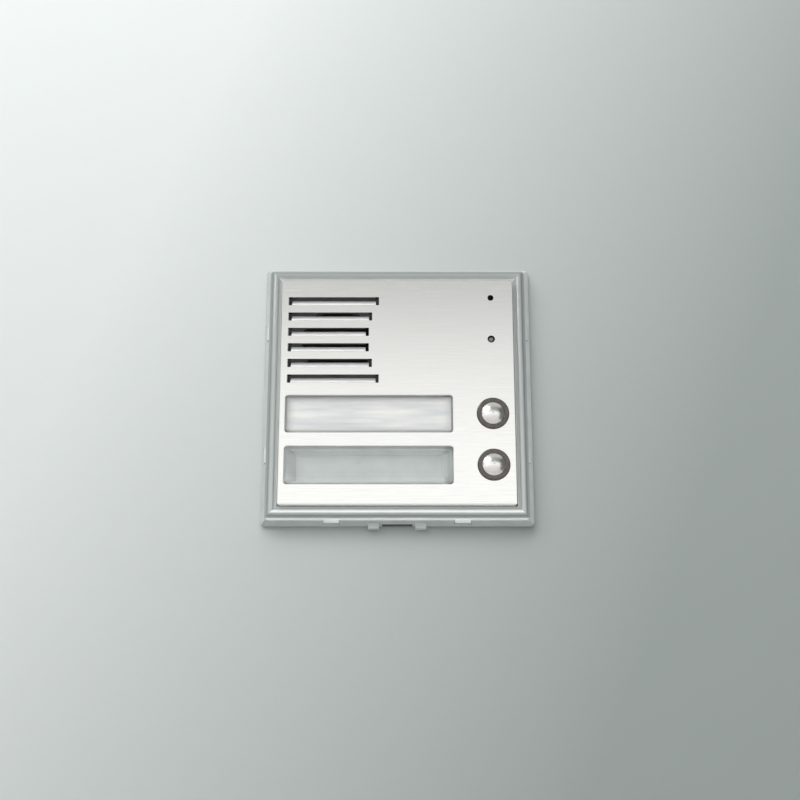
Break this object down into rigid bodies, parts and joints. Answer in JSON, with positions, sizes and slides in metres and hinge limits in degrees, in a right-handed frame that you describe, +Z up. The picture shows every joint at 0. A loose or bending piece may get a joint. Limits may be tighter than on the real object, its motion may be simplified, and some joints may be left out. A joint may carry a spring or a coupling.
{
  "type": "door intercom panel",
  "caption": "Square flush door intercom panel: louvred speaker slots, name windows beside domed call buttons, microphone hole and lamp, in a clip-on trim frame.",
  "frame": {"origin": "middle of the four wall screw holes, on the wall's face at the back of the fixing frame", "axes": "+X to the right as seen from the front, +Y into the wall, +Z up as mounted"},
  "size_m": [0.115, 0.0353, 0.1165],
  "materials": {
    "satin_aluminium": "satin anodised",
    "trim_grey": "glossy, smoky see-through",
    "frame_grey": "fine grain",
    "body_grey": "fine grain",
    "louvre_white": "satin",
    "clear_lens": "clear, polished",
    "tray_milky": "milky see-through",
    "card_white": "uncoated card",
    "polished_metal": "polished",
    "gunmetal": "satin",
    "spring_steel": "drawn wire",
    "screw_steel": "zinc plated",
    "rubber_black": "matt",
    "foam_grey": "closed-cell foam",
    "screen_black": "woven",
    "nylon_white": "natural",
    "black_plastic": "moulded",
    "red_plastic": "moulded",
    "blue_plastic": "moulded",
    "board_green": "solder mask",
    "terminal_grey": "moulded",
    "capacitor_sleeve": "shrink sleeve",
    "basket_steel": "zinc plated",
    "magnet_grey": "nickel plated",
    "copper": "enamelled wire",
    "cone_paper": "pressed paper",
    "lamp_grey": "diffuse",
    "lamp_warm": "phosphor",
    "capsule_metal": "spun can"
  },
  "bodies": {
    "panel": {"fixing_frame": "frame_grey", "wall_gasket": "foam_grey", "bezel": "trim_grey", "module_seal": "rubber_black", "front_plate": "satin_aluminium", "carrier": "body_grey", "louvre_grille": "louvre_white", "dust_screen": "screen_black", "speaker_gasket": "foam_grey", "speaker_basket": "basket_steel", "speaker_cone": "cone_paper", "speaker_voice_coil": "copper", "speaker_magnet": "magnet_grey", "speaker_pole_plate": "basket_steel", "speaker_yoke": "basket_steel", "microphone_boot": "rubber_black", "microphone_capsule": "capsule_metal", "status_lamp": "lamp_grey", "lamp_spacer": "black_plastic", "name_window_upper": "clear_lens", "name_window_lower": "clear_lens", "name_card_upper": "card_white", "card_tray_upper": "tray_milky", "card_tray_lower": "tray_milky", "backlight_lamps": "lamp_warm", "button_collar_upper": "gunmetal", "button_collar_lower": "gunmetal", "button_spring_upper": "spring_steel", "button_spring_lower": "spring_steel", "switch_body_upper": "black_plastic", "switch_body_lower": "black_plastic", "circuit_board": "board_green", "terminal_block": "terminal_grey", "terminal_screws": "screw_steel", "volume_trimmer_body": "blue_plastic", "microphone_trimmer_body": "blue_plastic", "capacitors": "capacitor_sleeve", "amplifier_chip": "black_plastic", "rear_cover": "body_grey", "housing_screws": "screw_steel"},
    "call_button_upper": {"button_cap_upper": "polished_metal", "button_plunger_upper": "nylon_white", "switch_actuator_upper": "red_plastic"},
    "call_button_lower": {"button_cap_lower": "polished_metal", "button_plunger_lower": "nylon_white", "switch_actuator_lower": "red_plastic"},
    "volume_rotor": {"volume_trimmer_rotor": "nylon_white"},
    "microphone_rotor": {"microphone_trimmer_rotor": "nylon_white"}
  },
  "joints": [
    {"name": "press_upper", "type": "slide", "parent": "panel", "child": "call_button_upper", "axis": [0, 1, 0], "range_m": [0, 0.0015], "stiffness_N_per_m": 400, "springref_m": -0.004, "deforming": ["button_spring_upper"]},
    {"name": "press_lower", "type": "slide", "parent": "panel", "child": "call_button_lower", "axis": [0, 1, 0], "range_m": [0, 0.0015], "stiffness_N_per_m": 400, "springref_m": -0.004, "deforming": ["button_spring_lower"]},
    {"name": "turn_volume", "type": "hinge", "parent": "panel", "child": "volume_rotor", "pos_m": [0.014, 0.02, 0.0332], "axis": [0, 1, 0], "range_deg": [-135, 135]},
    {"name": "turn_microphone", "type": "hinge", "parent": "panel", "child": "microphone_rotor", "pos_m": [0.014, 0.02, 0.0172], "axis": [0, 1, 0], "range_deg": [-135, 135]}
  ]
}
